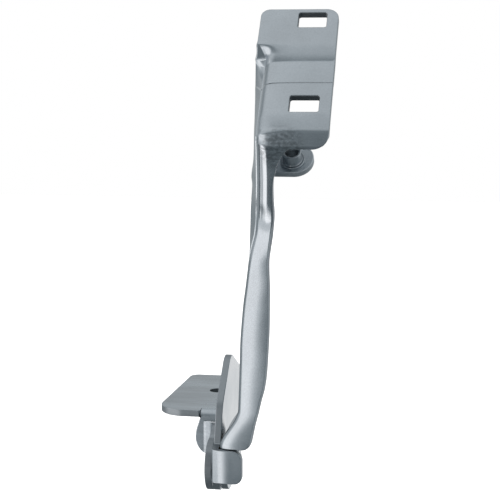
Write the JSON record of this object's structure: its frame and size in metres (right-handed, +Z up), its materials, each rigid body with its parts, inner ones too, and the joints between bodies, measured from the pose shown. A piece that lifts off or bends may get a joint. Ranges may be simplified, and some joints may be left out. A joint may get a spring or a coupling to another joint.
{
  "type": "car bonnet hinge",
  "caption": "Pressed steel bonnet hinge: cranked arm with slotted bonnet plate and weld nut ear, turning on a riveted pin beside a stop plate.",
  "frame": {"origin": "centre of the base bolt hole, on the underside of the bolt flange", "axes": "+X along the pivot axis to the side of the stop tab, +Y forward from the pivot along the bolt flange, +Z up, square to the bolt flange"},
  "size_m": [0.0915, 0.1243, 0.2358],
  "materials": {
    "zinc_plate": "zinc plated sheet, satin",
    "zinc_weld": "zinc plated weld bead, dull",
    "zinc_pin": "zinc plated, turned",
    "zinc_nut": "zinc plated, turned",
    "bush_bronze": "bronze, dull"
  },
  "bodies": {
    "base": {"base_bracket": "zinc_plate", "stop_plate": "zinc_plate", "plate_weld": "zinc_weld", "pivot_pin": "zinc_pin", "thrust_washer": "zinc_pin"},
    "arm": {"hinge_arm": "zinc_plate", "weld_nut": "zinc_nut", "pivot_bush": "bush_bronze"}
  },
  "joints": [
    {"name": "arm_pivot", "type": "hinge", "parent": "base", "child": "arm", "pos_m": [0.009, -0.058, -0.0184], "axis": [-1, 0, 0], "range_deg": [0, 46]}
  ]
}
